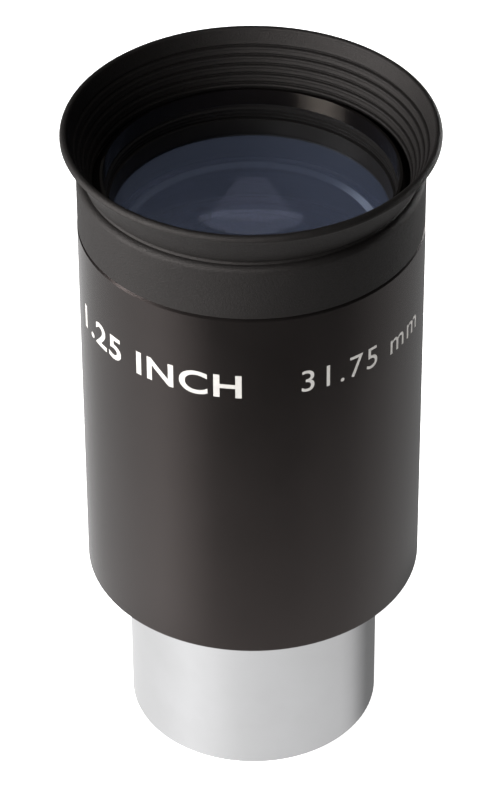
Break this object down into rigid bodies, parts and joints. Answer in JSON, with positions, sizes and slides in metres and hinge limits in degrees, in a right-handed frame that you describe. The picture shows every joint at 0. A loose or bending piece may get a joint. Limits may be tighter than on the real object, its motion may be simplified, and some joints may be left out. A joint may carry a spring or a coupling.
{
  "type": "telescope eyepiece",
  "caption": "Round 1.25 inch telescope eyepiece: black body over a bright push-fit nosepiece, wide eye lens in a flared fold-down rubber eyecup.",
  "frame": {"origin": "centre of the nosepiece's lower end, on the optical axis", "axes": "+Z along the optical axis from the nosepiece towards the eye; the part is turned about Z, so X and Y are any two directions across it"},
  "size_m": [0.0456, 0.0456, 0.0878],
  "materials": {
    "nosepiece_metal": "satin",
    "body_metal": "satin",
    "blackened_metal": "matte",
    "end_ring_metal": "gloss",
    "washer_film": "matte",
    "lens_glass": "gloss",
    "lens_cement": "gloss",
    "eyecup_rubber": "matte",
    "body_print": "matte"
  },
  "bodies": {
    "barrel": {"nosepiece": "nosepiece_metal", "field_stop_ring": "blackened_metal", "body_shell": "body_metal", "baffle_sleeve": "blackened_metal", "lens_cell": "blackened_metal", "field_retaining_ring": "blackened_metal", "field_lens_washer": "washer_film", "field_flint": "lens_glass", "field_cement": "lens_cement", "field_crown": "lens_glass", "lens_spacer": "blackened_metal", "eye_crown": "lens_glass", "eye_cement": "lens_cement", "eye_flint": "lens_glass", "eye_lens_washer": "washer_film", "eye_retaining_ring": "blackened_metal", "eye_end_ring": "end_ring_metal", "eyecup_skirt": "eyecup_rubber", "eyecup_flare": "eyecup_rubber"},
    "eyecup_rim": {"eyecup_lip": "eyecup_rubber"}
  },
  "joints": [
    {"name": "eyecup_fold", "type": "slide", "parent": "barrel", "child": "eyecup_rim", "axis": [0, 0, -1], "range_m": [0, 0.0075], "deforming": ["eyecup_flare"]}
  ]
}
